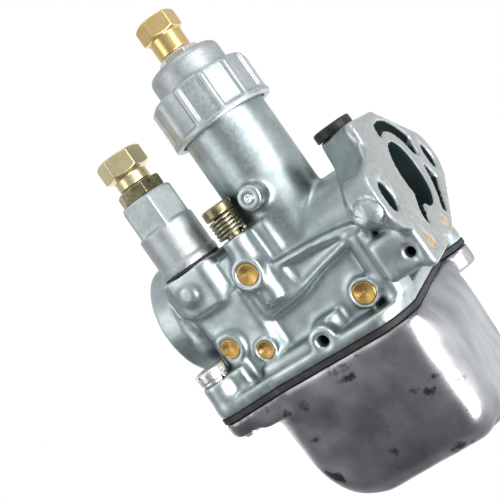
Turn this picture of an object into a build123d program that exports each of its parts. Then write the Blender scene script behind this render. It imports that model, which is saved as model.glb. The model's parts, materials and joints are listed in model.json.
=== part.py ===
from build123d import *
import math
import os

# Slide carburetor for a small two-stroke engine.  Millimetres, +Z up along the slide barrel.
# Every shape is drawn about the point where the barrel axis crosses the throat axis.  On export it
# is moved so that the origin is the centre of the bore on the engine flange face.
# +X points at the engine, -X at the air filter, and -Y is the side with the channel plugs.

# ---- throat, engine flange and air inlet -------------------------------------------------------
BORE_R = 8.0
OUTLET_LENGTH = 18.0
THROAT_R = 7.8
FLANGE_X = 28.9
FLANGE_T = 5.2
EAR_T = 2.2
NEAR_EAR_T = 6.0
STUD_SPACING = 48.0
STUD_HOLE_R = 3.25
EAR_R = 7.0
NECK_R = 10.0
COLLAR_X = 17.8
HOOD_X = 18.5
BLOCK_TOP_Z = 16.1
INLET_X = -37.2
INLET_R = 14.7
SPIGOT_LENGTH = 5.6
SPIGOT_ROOT_R = 14.2
INLET_MOUTH_R = 12.4

# ---- slide barrel and cap ----------------------------------------------------------------------
BARREL_R = 10.5
BARREL_BORE_R = 8.75
BARREL_TOP_Z = 40.0
THREAD_R = 11.1
NUT_Z0 = 33.2
NUT_Z1 = 44.5
NUT_R = 12.0
RIDGE_R = 12.8
RIDGES = 12
CAP_FLANGE_R = 11.0
CAP_R = 9.1
CAP_TOP_Z = 50.5
CAP_WALL = 1.2
SLIDE_R = 8.68
SLIDE_TOP_Z = 22.0
SLIDE_BOTTOM_Z = -7.9
SLIDE_FLOOR = 3.3
SLIDE_TRAVEL = 16.0

# ---- cable adjusters ---------------------------------------------------------------------------
CABLE_THREAD_R = 3.7
SHOULDER_R = 4.1
CABLE_BORE_R = 1.3
RUN_FIT = 0.06

# ---- starter (cold start) unit -----------------------------------------------------------------
STARTER_X = -23.2
STARTER_Y = -9.0
STARTER_R = 7.1
STARTER_SEAT_Z = 10.5
STARTER_HEX_Z = 22.0
STARTER_TOP_Z = 30.0
STARTER_HEX_AF = 12.5
PLUNGER_R = 3.5
PLUNGER_FOOT_Z = 8.0
PLUNGER_TOP_Z = 16.0
STARTER_STEM_Z = 28.0

# ---- idle air screw ----------------------------------------------------------------------------
IDLE_X = -8.3
IDLE_Y = -12.1
IDLE_SEAT_Z = 10.7
IDLE_HEAD_Z = 16.1
IDLE_HEAD_R = 3.65

# ---- bowl joint and float bowl -----------------------------------------------------------------
JOINT_Z = -22.0
JOINT_T = 3.0
GASKET_T = 1.2
JOINT_X0 = -26.5
JOINT_X1 = 17.5
JOINT_Y0 = -19.0
JOINT_Y1 = 27.0
JOINT_CORNER_R = 9.0
LUG_R = 4.2
LUGS = ((-30.5, -17.4), (18.6, 29.0))
LUG_T = 5.6
PILLAR_TOP_Z = -13.8
BOWL_BOTTOM_Z = -56.0
BOWL_WALL = 2.0
BOWL_X1 = 20.3
SCREW_R = 2.0

# ---- float and jets ----------------------------------------------------------------------------
PIN_X = -19.5
PIN_Z = -27.5
PIN_R = 1.0
NEEDLE_X = -12.5
NEEDLE_Y = 9.0
STEM_R = 4.4

# ---- sealed channel plugs on the -Y side: centre X, centre Z, face Y, plug radius, boss radius --
CHANNEL_PLUGS = {
    "channel_plug_a": (-9.5, 2.2, -16.2, 2.5, 4.0),
    "channel_plug_b": (10.0, -14.6, -15.6, 2.55, 3.5),
    "channel_plug_c": (-16.5, -13.9, -16.2, 2.15, 2.8),
    "channel_plug_d": (-24.0, -9.6, -16.0, 2.35, 4.0),
}
PLUG_DEPTH = 1.7

LOW = (Align.CENTER, Align.CENTER, Align.MIN)
FLANGE_SHIFT = Pos(-FLANGE_X, 0, 0)


# ---- small builders ----------------------------------------------------------------------------
def cyl_x(r, x0, x1, y=0.0, z=0.0):
    return Pos(x0, y, z) * Rot(0, 90, 0) * Cylinder(r, x1 - x0, align=LOW)


def cyl_y(r, y0, y1, x=0.0, z=0.0):
    return Pos(x, y0, z) * Rot(-90, 0, 0) * Cylinder(r, y1 - y0, align=LOW)


def cyl_z(r, z0, z1, x=0.0, y=0.0):
    return Pos(x, y, z0) * Cylinder(r, z1 - z0, align=LOW)


def cone_z(r0, r1, z0, z1, x=0.0, y=0.0):
    return Pos(x, y, z0) * Cone(r0, r1, z1 - z0, align=LOW)


def block(x0, x1, y0, y1, z0, z1):
    size = Box(x1 - x0, y1 - y0, z1 - z0, align=(Align.MIN, Align.MIN, Align.MIN))
    return Pos(x0, y0, z0) * size


def post(x0, x1, y0, y1, z0, z1, r):
    """Upright block with rounded vertical corners."""
    plan = Pos((x0 + x1) / 2, (y0 + y1) / 2, z0) * RectangleRounded(x1 - x0, y1 - y0, r)
    return extrude(plan, z1 - z0)


def hex_z(across_flats, z0, z1, x=0.0, y=0.0, turn=0.0):
    plan = Pos(x, y, z0) * Rot(0, 0, turn) * RegularPolygon(across_flats / 2, 6, major_radius=False)
    return extrude(plan, z1 - z0)


def rounded_hex(across_flats, z0, z1, x, y, turn, low, high):
    """Hexagon whose corners are turned down by a cone at each end."""
    corner = across_flats / math.sqrt(3)
    body = hex_z(across_flats, z0, z1, x, y, turn)
    guard = cyl_z(corner, z0 + low, z1 - high, x, y)
    guard += cone_z(corner - 1.7 * low, corner, z0, z0 + low, x, y)
    guard += cone_z(corner, corner - 1.7 * high, z1 - high, z1, x, y)
    return body & guard


def front_outline(points, y_back, y_front):
    """Closed outline of (X, Z) points drawn on the -Y side and carried from y_back to y_front."""
    face = make_face(Polyline(*points, close=True))
    sketch = Plane.XZ.offset(-y_back) * face
    return extrude(sketch, y_back - y_front, dir=(0, -1, 0))


def spring(coil_r, wire_r, z0, z1, turns, x=0.0, y=0.0):
    """Round wire coil that stands between z0 and z1."""
    height = z1 - z0 - 2 * wire_r
    path = Pos(x, y, z0 + wire_r) * Helix(height / turns, height, coil_r)
    return sweep((path ^ 0) * Circle(wire_r), path=path)


# ---- body casting ------------------------------------------------------------------------------
def flange_face():
    """Outline of the engine flange: a diamond with two stud ears, a top block and a foot."""
    ears = [Pos(side * STUD_SPACING / 2, 0) * Circle(EAR_R) for side in (-1, 1)]
    middle = Circle(15.6)
    outline = make_hull(middle.edges() + ears[0].edges() + ears[1].edges())
    outline += Pos(-7.0, 8.0) * RectangleRounded(21.0, 16.2, 2.5)
    outline += Pos(-15.3, -10.4) * RectangleRounded(15.6, 11.8, 1.6)
    return outline


def flange_cavities():
    """Lightening pockets cast into the flange face around the bore."""
    upper_in = ThreePointArc((-4.4, 9.6), (4.6, 10.3), (12.2, 3.2))
    upper_tip = Line((12.2, 3.2), (16.5, 1.4))
    upper_side = Line((16.5, 1.4), (18.6, 6.4))
    upper_out = ThreePointArc((18.6, 6.4), (7.2, 12.6), (-3.9, 12.6))
    upper_end = Line((-3.9, 12.6), (-4.4, 9.6))
    upper = make_face([upper_in, upper_tip, upper_side, upper_out, upper_end])
    lower_in = ThreePointArc((13.6, -1.1), (10.4, -6.6), (4.4, -10.6))
    lower_end = Line((4.4, -10.6), (7.2, -11.8))
    lower_out = ThreePointArc((7.2, -11.8), (13.2, -8.2), (19.0, -5.0))
    lower_side = Line((19.0, -5.0), (16.6, -0.9))
    lower_tip = Line((16.6, -0.9), (13.6, -1.1))
    lower = make_face([lower_in, lower_end, lower_out, lower_side, lower_tip])
    notch = Pos(-8.6, -6.9) * Rot(0, 0, 40) * RectangleRounded(7.6, 3.4, 1.2)
    pockets = Plane.YZ.offset(FLANGE_X - 3.0) * (upper + lower + notch)
    return extrude(pockets, 4.0, dir=(1, 0, 0))


def flange_hood():
    """Block behind the flange that flares out to the near ear and carries the mixture screw."""
    rear = ((3, 16.1), (-9.2, 16.1), (-10.5, 10.2), (-15.4, 6.3))
    rear += ((-20.0, 2.4), (-20.2, -1.5), (-15.5, -4.5), (3, -4.5))
    front = ((3, 16.1), (-16.4, 16.1), (-18.4, 11.4), (-24.2, 7.0))
    front += ((-29.6, 3.6), (-29.8, -2.4), (-25.0, -6.2), (3, -6.2))
    near = Plane.YZ.offset(HOOD_X) * make_face(Polyline(*rear, close=True))
    far = Plane.YZ.offset(FLANGE_X - 0.5) * make_face(Polyline(*front, close=True))
    return loft([near.face(), far.face()], ruled=True)


def flange_foot():
    """Foot under the near ear, stepped down to the lower case."""
    foot = Plane.YZ.offset(HOOD_X) * (Pos(-15.0, -10.6) * RectangleRounded(15.2, 9.4, 1.2))
    foot = extrude(foot, FLANGE_X - 1 - HOOD_X)
    foot += post(16.4, 20.0, -18.4, -6.0, -14.2, -3.0, 1.2)
    foot += post(12.5, 18.0, -15.4, -6.0, -19.0, -3.0, 2.5)
    return foot


def far_gusset():
    """Flared web behind the far ear."""
    rear = ((3, 9), (14, 6.2), (19, 3), (19, -3), (14, -6.2), (3, -9))
    front = ((3, 14.5), (24.4, 6.6), (30.5, 2.6), (30.5, -2.6), (24.4, -6.6), (3, -14.5))
    small = Plane.YZ.offset(HOOD_X) * make_face(Polyline(*rear, close=True))
    large = Plane.YZ.offset(FLANGE_X - 0.5) * make_face(Polyline(*front, close=True))
    return loft([small.face(), large.face()], ruled=True)


def engine_flange():
    plate = extrude(Plane.YZ.offset(FLANGE_X - EAR_T) * flange_face(), EAR_T)
    core = flange_face() & (Pos(4.0, 0) * Rectangle(33.0, 60.0))
    plate += extrude(Plane.YZ.offset(FLANGE_X - FLANGE_T) * core, FLANGE_T)
    collar = cyl_x(11.6, COLLAR_X, FLANGE_X - 1)
    near_ear = cyl_x(EAR_R - 0.05, FLANGE_X - NEAR_EAR_T, FLANGE_X - 1, -STUD_SPACING / 2)
    near_ear &= block(0, FLANGE_X, -40, 0, -2.6, 20)
    pad = cyl_y(2.7, -26.6, -18.0, 23.4, -0.3)
    return plate + collar + flange_hood() + near_ear + far_gusset() + pad + flange_foot()


def air_inlet():
    spigot = cyl_x(INLET_R, INLET_X, INLET_X + SPIGOT_LENGTH)
    root_x = INLET_X + SPIGOT_LENGTH
    taper = Pos(root_x, 0, 0) * Rot(0, 90, 0) * Cone(SPIGOT_ROOT_R, NECK_R, 13.0, align=LOW)
    return spigot + taper


def barrel():
    tube = cyl_z(BARREL_R, -12.0, BARREL_TOP_Z)
    tube += cyl_z(THREAD_R, 35.0, BARREL_TOP_Z)
    tube += cyl_y(2.95, -14.4, -8.0, 0.5, 15.5)
    tube += cyl_x(NECK_R, -20.0, COLLAR_X + 1)
    return tube


def starter_seat():
    """Block under the starter housing, with its round stub and the column below it."""
    seat = post(-31.0, -15.6, -16.1, 0.0, 0.2, STARTER_SEAT_Z, 4.0)
    seat -= block(-32.0, -25.6, -20.0, -10.0, 0.0, 5.6) - cyl_y(5.4, -20.0, -10.0, -25.6, 5.6)
    seat += cyl_y(2.3, -17.1, -10, -24.4, 5.7)
    seat += post(-28.6, -12.4, -15.0, 0.0, -20.5, 1.0, 2.5)
    seat += post(-16.5, -6.5, -13.6, 0.0, -8.0, 8.0, 2.0)
    return seat


def idle_column():
    column = cyl_z(3.75, -6.0, IDLE_SEAT_Z, IDLE_X, IDLE_Y)
    column += block(IDLE_X, -0.9, -11.6, 0.0, -4.0, 10.4)
    return column


def channel_arm():
    """Cast channel that runs from the left plug across to the flange, with a shallow web pocket."""
    arm_top = Spline((-8.5, 1.4), (-3.0, 1.0), (6.0, 0.4), (16.0, -1.2))
    low_points = ((19.2, -3.4), (11.5, -4.7), (3.5, -6.2), (-3.0, -8.2), (-10.0, -8.8), (-16.5, -10.8))
    arm_low = Spline(*low_points)
    end = Line((16.0, -1.2), (19.2, -3.4))
    back = Polyline((-16.5, -10.8), (-16.5, -2.0), (-8.5, 1.4))
    face = make_face([arm_top, end, arm_low, back])
    arm = extrude(Plane.XZ.offset(4.0) * face, 10.2, dir=(0, -1, 0))
    pocket = ((-2.6, -0.6), (5.5, -1.0), (13.5, -2.8), (4.5, -4.7), (-1.6, -6.0))
    arm -= front_outline(pocket, -13.0, -15.0)
    return arm


def lower_case():
    """Walls between the throat and the bowl joint."""
    case = post(-22.0, 15.5, -12.6, 15.0, JOINT_Z + 1, -2.0, 5.0)
    case += post(-20.0, -3.6, -17.0, 0.0, JOINT_Z + 1, -17.0, 1.5)
    case += cyl_y(3.3, -19.0, 0, -2.5, -18.2)
    case += cyl_z(3.3, JOINT_Z + 1, -14.5, -0.6, -12.4)
    case += post(8.0, 15.5, -11.5, 0.0, JOINT_Z + 1, -8.0, 2.0)
    case += cyl_y(4.6, 10.0, 22.0, -12.0, -12.5)
    return case


def joint_opening(inset):
    width = JOINT_X1 - JOINT_X0 - 2 * inset
    depth = JOINT_Y1 - JOINT_Y0 - 2 * inset
    middle = Pos((JOINT_X0 + JOINT_X1) / 2, (JOINT_Y0 + JOINT_Y1) / 2)
    return middle * RectangleRounded(width, depth, JOINT_CORNER_R - inset)


def bowl_lugs():
    """Screw lugs at two opposite corners of the bowl joint."""
    lugs = []
    for (x, y), inner in zip(LUGS, (10.0, -10.0)):
        lug = Pos(x, y) * Circle(LUG_R)
        root = Pos(x + inner, y + 0.3 * inner) * Circle(LUG_R + 1.0)
        lugs.append(make_hull(lug.edges() + root.edges()))
    return lugs[0] + lugs[1]


def joint_outline():
    return joint_opening(0.0) + bowl_lugs()


def screw_pillars():
    pillars = cyl_z(LUG_R - 0.2, JOINT_Z + 1, PILLAR_TOP_Z, *LUGS[0])
    pillars += post(-29.5, -22.5, -18.5, -8.0, JOINT_Z + 1, PILLAR_TOP_Z, 1.5)
    pillars += cyl_z(LUG_R - 0.2, JOINT_Z + 1, PILLAR_TOP_Z, *LUGS[1])
    pillars += post(11.5, 20.5, 13.0, 26.0, JOINT_Z + 1, PILLAR_TOP_Z, 1.5)
    return pillars


def float_hangers():
    """Posts under the body that carry the float pin, the jet stem and the needle seat."""
    hangers = cyl_z(STEM_R, -31.0, -18.0)
    for y in (-6.5, 15.5):
        hangers += block(PIN_X - 2.2, PIN_X + 2.2, y - 1.2, y + 1.2, PIN_Z - 2.4, -18.0)
    hangers -= cyl_y(PIN_R, -20, 20, PIN_X, PIN_Z)
    return hangers


def body_passages():
    cuts = cyl_x(BORE_R, FLANGE_X - OUTLET_LENGTH, FLANGE_X + 1)
    cuts += cyl_x(THROAT_R, -30.0, FLANGE_X - OUTLET_LENGTH)
    mouth = Pos(INLET_X - 0.1, 0, 0) * Rot(0, 90, 0)
    cuts += mouth * Cone(INLET_MOUTH_R, THROAT_R, 16.0, align=LOW)
    cuts += cyl_z(BARREL_BORE_R, -9.4, BARREL_TOP_Z + 1)
    cuts += cyl_z(PLUNGER_R + 0.1, PLUNGER_FOOT_Z, STARTER_SEAT_Z + 1, STARTER_X, STARTER_Y)
    cuts += cyl_z(STARTER_R + 0.5, STARTER_SEAT_Z, 20.0, STARTER_X, STARTER_Y)
    cuts += cyl_z(2.0, -5.0, IDLE_SEAT_Z + 1, IDLE_X, IDLE_Y)
    cuts += cyl_z(3.05, -32.0, -9.0)
    cuts += cyl_y(1.05, -15.0, -8.0, 0.5, 15.5)
    cuts += cyl_y(1.4, -20.0, -8.0, -2.5, -18.3)
    cuts += cyl_y(1.15, -24.0, -14.0, 25.5, -11.4)
    cuts += cyl_z(3.0, JOINT_Z - 1, -17.0, NEEDLE_X, NEEDLE_Y)
    cuts += cyl_y(2.2, 12.0, 23.0, -12.0, -12.5)
    cuts += cyl_z(1.9, JOINT_Z - 1, -17.0, 11.0, 0.0)
    cuts += cyl_z(1.9, JOINT_Z - 1, -17.0, -8.5, 0.0)
    cuts += cyl_z(2.3, 8.0, BLOCK_TOP_Z + 1, 22.4, -7.6)
    for x, z, face, plug_r, _ in CHANNEL_PLUGS.values():
        cuts += cyl_y(plug_r, face - 1, face + PLUG_DEPTH, x, z)
    for y, z, plug_r in ((-17.6, -12.4, 1.7), (0.6, -12.9, 1.5)):
        cuts += cyl_x(plug_r, FLANGE_X - 1.4, FLANGE_X + 1, y, z)
    for side in (-1, 1):
        cuts += cyl_x(STUD_HOLE_R, 10.0, FLANGE_X + 1, side * STUD_SPACING / 2, 0)
    for x, y in LUGS:
        cuts += cyl_z(SCREW_R + 0.15, JOINT_Z - 1, PILLAR_TOP_Z + 1, x, y)
    cuts += cyl_z(LUG_R + 0.3, PILLAR_TOP_Z, -5.0, *LUGS[0])
    return cuts


def carb_body():
    body = barrel() + engine_flange() + air_inlet() + lower_case() + starter_seat()
    body += idle_column() + channel_arm() + screw_pillars()
    body += extrude(Pos(0, 0, JOINT_Z) * joint_outline(), JOINT_T)
    for x, z, face, _, boss_r in CHANNEL_PLUGS.values():
        body += cyl_y(boss_r, face, -6.0, x, z)
    body += float_hangers()
    body -= body_passages()
    body -= flange_cavities()
    return body


# ---- plugs, pins and screws --------------------------------------------------------------------
def channel_plug(x, z, face, plug_r):
    """Brass plug with a shallow dish and a centre dimple."""
    plug = cyl_y(plug_r, face + 0.35, face + PLUG_DEPTH, x, z)
    dish = Pos(x, face + 0.35, z) * Rot(-90, 0, 0) * Cone(plug_r - 0.35, 0.6, 0.5, align=LOW)
    return plug - dish


def flange_plugs():
    pair = cyl_x(1.7, FLANGE_X - 1.4, FLANGE_X - 0.1, -17.6, -12.4)
    pair += cyl_x(1.5, FLANGE_X - 1.4, FLANGE_X - 0.1, 0.6, -12.9)
    return pair


def slide_guide_pin():
    """Pin pressed into its boss, whose tip runs in the slot of the slide."""
    pin = cyl_y(1.05, -14.7, -8.8, 0.5, 15.5)
    pin += cyl_y(0.7, -8.8, -7.7, 0.5, 15.5)
    return pin - cyl_y(0.45, -15.0, -14.3, 0.5, 15.5)


def idle_air_screw():
    screw = cyl_z(IDLE_HEAD_R, IDLE_HEAD_Z, IDLE_HEAD_Z + 2.6, IDLE_X, IDLE_Y)
    screw = chamfer(screw.edges().filter_by(GeomType.CIRCLE), 0.35)
    screw += cyl_z(1.9, -0.5, IDLE_HEAD_Z, IDLE_X, IDLE_Y)
    screw += cone_z(0.5, 1.9, -4.0, -0.5, IDLE_X, IDLE_Y)
    slot = block(-5, 5, -0.55, 0.55, IDLE_HEAD_Z + 1.5, IDLE_HEAD_Z + 3)
    return screw - Pos(IDLE_X, IDLE_Y, 0) * Rot(0, 0, 12) * slot


def mixture_screw():
    screw = cyl_z(2.2, 9.5, 15.0, 22.4, -7.6)
    return screw - block(19.9, 24.9, -7.95, -7.25, 13.9, 15.1)


def mixture_screw_cap():
    """Black plastic cover pressed over the mixture screw."""
    cap = cyl_z(4.4, BLOCK_TOP_Z, BLOCK_TOP_Z + 2.2, 22.4, -7.6)
    cap = chamfer(cap.edges().sort_by(Axis.Z)[-1:], 0.3)
    cap += cyl_z(2.3, 15.1, BLOCK_TOP_Z, 22.4, -7.6)
    return cap


# ---- slide, needle and cap ---------------------------------------------------------------------
def throttle_slide():
    slide = cyl_z(SLIDE_R, SLIDE_BOTTOM_Z, SLIDE_TOP_Z)
    slide -= cyl_z(SLIDE_R - 1.2, SLIDE_BOTTOM_Z + SLIDE_FLOOR, SLIDE_TOP_Z + 1)
    slide -= cyl_z(1.3, SLIDE_BOTTOM_Z - 1, 0)
    slide -= block(-0.4, 1.4, -9.5, -7.6, 15.5 - SLIDE_TRAVEL - 1.5, SLIDE_TOP_Z + 1)
    cutaway = ((-9.5, -8.5), (-1.5, -8.5), (-9.5, -3.8))
    return slide - front_outline(cutaway, 10.0, -10.0)


def jet_needle():
    needle = cyl_z(1.2, -12.0, -1.5)
    needle += cone_z(0.6, 1.2, -29.0, -12.0)
    top = Pos(0, 0, -1.5) * Cone(1.2, 0.5, 0.8, align=LOW)
    return needle + top - (cyl_z(1.3, -4.5, -4.05) - cyl_z(0.85, -4.5, -4.05))


def needle_clip():
    floor = SLIDE_BOTTOM_Z + SLIDE_FLOOR
    clip = cyl_z(3.0, floor + 0.12, floor + 0.52) - cyl_z(0.9, floor, floor + 1)
    return clip - block(0, 4, -0.7, 0.7, floor, floor + 1)


def spring_seat():
    floor = SLIDE_BOTTOM_Z + SLIDE_FLOOR
    return cyl_z(7.3, floor + 0.55, floor + 1.4) - cyl_z(1.5, floor, floor + 2)


def throttle_spring():
    return spring(5.4, 0.55, SLIDE_BOTTOM_Z + SLIDE_FLOOR + 1.45, CAP_TOP_Z - 2.25, 12)


def cap_dome():
    dome = cyl_z(CAP_R, 41.0, CAP_TOP_Z)
    dome = fillet(dome.edges().sort_by(Axis.Z)[-1:], 1.8)
    dome += cyl_z(CAP_FLANGE_R, 40.4, 42.0)
    dome -= cyl_z(CAP_R - CAP_WALL, 40.0, CAP_TOP_Z - 2.2)
    return dome - cyl_z(CABLE_THREAD_R + RUN_FIT, 40.0, CAP_TOP_Z + 1)


def cap_gasket():
    return cyl_z(CAP_FLANGE_R, BARREL_TOP_Z, 40.4) - cyl_z(BARREL_BORE_R, 39.0, 41.0)


def ring_nut():
    nut = cyl_z(NUT_R, NUT_Z0, NUT_Z1)
    nut += cyl_z(RIDGE_R + 0.1, NUT_Z0, NUT_Z0 + 1.5)
    for i in range(RIDGES):
        rib = block(RIDGE_R - 1.8, RIDGE_R, -0.65, 0.65, NUT_Z0, NUT_Z1 - 0.3)
        nut += Rot(0, 0, 360 / RIDGES * i) * rib
    top = cyl_z(RIDGE_R + 0.2, NUT_Z0, NUT_Z1 - 1.2)
    top += cone_z(RIDGE_R + 0.2, NUT_R - 0.6, NUT_Z1 - 1.2, NUT_Z1)
    nut = nut & top
    nut -= cyl_z(THREAD_R + 0.08, NUT_Z0 - 1, 42.1)
    return nut - cyl_z(CAP_R + 0.15, 40.0, NUT_Z1 + 1)


def cable_adjuster(x, y, foot_z, shoulder_z, head_z, top_z, across_flats, turn):
    """Threaded hollow stem with a shouldered hexagon head that the cable's outer rests in."""
    head = rounded_hex(across_flats, head_z, top_z, x, y, turn, 1.3, 0.5)
    stem = cyl_z(CABLE_THREAD_R, foot_z, head_z, x, y)
    body = head + stem + cyl_z(SHOULDER_R, shoulder_z, head_z + 0.5, x, y)
    body -= cyl_z(CABLE_BORE_R, foot_z - 1, top_z + 1, x, y)
    return body - cyl_z(2.6, top_z - 5.0, top_z + 1, x, y)


def lock_nut(x, y, z0, z1, across_flats, turn):
    nut = rounded_hex(across_flats, z0, z1, x, y, turn, 0.3, 0.3)
    return nut - cyl_z(CABLE_THREAD_R + RUN_FIT, z0 - 1, z1 + 1, x, y)


# ---- starter unit ------------------------------------------------------------------------------
def starter_housing():
    housing = cyl_z(STARTER_R, STARTER_SEAT_Z + 0.5, STARTER_HEX_Z, STARTER_X, STARTER_Y)
    housing = fillet(housing.edges().sort_by(Axis.Z)[-1:], 0.6)
    housing += cyl_z(STARTER_R + 0.3, STARTER_SEAT_Z + 0.5, 12.8, STARTER_X, STARTER_Y)
    hexagon = rounded_hex(
        STARTER_HEX_AF, STARTER_HEX_Z - 0.5, STARTER_TOP_Z, STARTER_X, STARTER_Y, 4.0, 0.1, 0.6
    )
    housing += hexagon
    housing -= cyl_z(PLUNGER_R + 0.1, 5.0, STARTER_STEM_Z, STARTER_X, STARTER_Y)
    return housing - cyl_z(CABLE_THREAD_R + RUN_FIT, STARTER_STEM_Z - 0.5, 40.0, STARTER_X, STARTER_Y)


def starter_washer():
    washer = cyl_z(STARTER_R + 0.2, STARTER_SEAT_Z, STARTER_SEAT_Z + 0.5, STARTER_X, STARTER_Y)
    return washer - cyl_z(PLUNGER_R + 0.3, 10.0, 12.0, STARTER_X, STARTER_Y)


def starter_plunger():
    plunger = cyl_z(PLUNGER_R, PLUNGER_FOOT_Z + 1.0, PLUNGER_TOP_Z, STARTER_X, STARTER_Y)
    return plunger - cyl_z(0.9, PLUNGER_FOOT_Z + 3.0, PLUNGER_TOP_Z + 1, STARTER_X, STARTER_Y)


def starter_plunger_seal():
    return cyl_z(3.2, PLUNGER_FOOT_Z + 0.02, PLUNGER_FOOT_Z + 1.0, STARTER_X, STARTER_Y)


def starter_spring():
    top_z = STARTER_STEM_Z - 0.05
    return spring(2.6, 0.35, PLUNGER_TOP_Z + 0.05, top_z, 5, STARTER_X, STARTER_Y)


# ---- bowl, gasket and fixings ------------------------------------------------------------------
def bowl_gasket():
    gasket = extrude(Pos(0, 0, JOINT_Z - GASKET_T) * joint_outline(), GASKET_T)
    gasket -= extrude(Pos(0, 0, JOINT_Z - 3) * joint_opening(3.5), 6)
    for x, y in LUGS:
        gasket -= cyl_z(SCREW_R + 0.15, JOINT_Z - 3, JOINT_Z + 1, x, y)
    return gasket


def bowl_side(inset, bottom_z, corner_r):
    """Side view of the bowl: a wide curve on the inlet side, a fuller wall towards the engine."""
    left = JOINT_X0 + inset
    neck = JOINT_X1 - inset
    right = BOWL_X1 - inset
    wide = 15.0 - inset
    tight = corner_r
    top_z = JOINT_Z - GASKET_T
    belly_z = top_z - 8.0
    edges = [
        Line((left, top_z), (left + 1.2, bottom_z + wide)),
        RadiusArc((left + 1.2, bottom_z + wide), (left + wide, bottom_z), -wide * 1.02),
        Line((left + wide, bottom_z), (right - tight - 0.6, bottom_z + 1.5)),
        RadiusArc((right - tight - 0.6, bottom_z + 1.5), (right - 0.4, bottom_z + tight + 1.8), -tight),
        Line((right - 0.4, bottom_z + tight + 1.8), (right, belly_z)),
        RadiusArc((right, belly_z), (neck, top_z), -22.0),
        Line((neck, top_z), (left, top_z)),
    ]
    return make_face(edges)


def bowl_shell(inset, bottom_z, corner_r):
    side = Plane.XZ.offset(-JOINT_Y1 - 5) * bowl_side(inset, bottom_z, corner_r)
    side = extrude(side, 60, dir=(0, -1, 0))
    width = BOWL_X1 + 0.5 - JOINT_X0 - 2 * inset
    depth = JOINT_Y1 - JOINT_Y0 - 2 * inset
    middle = Pos((JOINT_X0 + BOWL_X1 + 0.5) / 2, (JOINT_Y0 + JOINT_Y1) / 2, JOINT_Z - GASKET_T)
    plan = middle * RectangleRounded(width, depth, JOINT_CORNER_R - inset)
    return side & extrude(plan, -40, taper=2.0)


def float_bowl():
    outer = bowl_shell(0.3, BOWL_BOTTOM_Z, 8.0)
    rim = extrude(Pos(0, 0, JOINT_Z - GASKET_T) * bowl_lugs(), -LUG_T)
    bosses = cyl_z(7.0, BOWL_BOTTOM_Z - 0.6, -49.0, 9.0, 1.0)
    bosses += cyl_z(5.0, BOWL_BOTTOM_Z + 1.2, -46.0, 14.6, 6.0)
    bowl = outer + rim + bosses
    bowl -= bowl_shell(BOWL_WALL + 0.6, BOWL_BOTTOM_Z + BOWL_WALL, 5.4)
    bowl -= extrude(Pos(0, 0, JOINT_Z - GASKET_T - 0.1) * joint_opening(BOWL_WALL + 0.6), 2)
    for x, y in LUGS:
        bowl -= cyl_z(SCREW_R + 0.05, -40.0, JOINT_Z, x, y)
    return bowl


def bowl_screw(x, y):
    head = cyl_z(3.9, PILLAR_TOP_Z + 0.9, PILLAR_TOP_Z + 3.4, x, y)
    head = fillet(head.edges().sort_by(Axis.Z)[-1:], 0.6)
    screw = head + cyl_z(SCREW_R, JOINT_Z - LUG_T - GASKET_T + 0.5, PILLAR_TOP_Z + 1, x, y)
    slot = block(-5, 5, -0.5, 0.5, PILLAR_TOP_Z + 2.2, PILLAR_TOP_Z + 4)
    return screw - Pos(x, y, 0) * Rot(0, 0, 65) * slot


def screw_washer(x, y):
    """Split spring washer."""
    ring = cyl_z(3.7, PILLAR_TOP_Z, PILLAR_TOP_Z + 0.85, x, y)
    ring -= cyl_z(SCREW_R + 0.1, PILLAR_TOP_Z - 1, PILLAR_TOP_Z + 2, x, y)
    return ring - Pos(x, y, 0) * Rot(0, 0, -30) * block(0, 5, -0.25, 0.25, -20, 0)


def fuel_inlet_nipple():
    nipple = cyl_y(2.2, 12.5, 22.0, -12.0, -12.5)
    nipple += cyl_y(4.0, 22.0, 24.0, -12.0, -12.5)
    nipple += cyl_y(2.5, 24.0, 38.0, -12.0, -12.5)
    for y in (27.5, 31.5, 35.5):
        barb = Pos(-12.0, y, -12.5) * Rot(-90, 0, 0) * Cone(3.2, 2.5, 2.5, align=LOW)
        nipple += barb
    return nipple - cyl_y(1.4, 12.0, 39.0, -12.0, -12.5)


# ---- jets and float ----------------------------------------------------------------------------
def needle_jet():
    tube = cyl_z(3.0, -31.0, -9.1) - cyl_z(1.4, -32.0, -8.0)
    tube += cyl_z(STEM_R, -33.0, -31.0) - cyl_z(1.4, -34.0, -30.0)
    return tube


def main_jet():
    jet = hex_z(6.0, -36.0, -33.0)
    return jet - cyl_z(0.5, -37.0, -32.0) - block(-4, 4, -0.4, 0.4, -36.5, -35.2)


def small_jet(x, y, length):
    jet = cyl_z(1.88, JOINT_Z - length, -17.5, x, y)
    jet -= cyl_z(0.4, JOINT_Z - length - 1, -17.0, x, y)
    return jet - block(x - 3, x + 3, y - 0.35, y + 0.35, JOINT_Z - length - 1, JOINT_Z - length + 0.9)


def needle_seat():
    seat = cyl_z(2.98, JOINT_Z - 1.5, -17.1, NEEDLE_X, NEEDLE_Y)
    return seat - cyl_z(1.45, -30.0, -18.5, NEEDLE_X, NEEDLE_Y) - cyl_z(0.8, -30, -16, NEEDLE_X, NEEDLE_Y)


def float_needle():
    """Valve needle that the float's tab lifts against its seat."""
    needle = cyl_z(1.38, -26.2, -21.7, NEEDLE_X, NEEDLE_Y)
    return needle + cone_z(1.38, 0.3, -21.7, -20.2, NEEDLE_X, NEEDLE_Y)


def float_pin():
    return cyl_y(PIN_R, -8.2, 17.2, PIN_X, PIN_Z)


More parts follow.
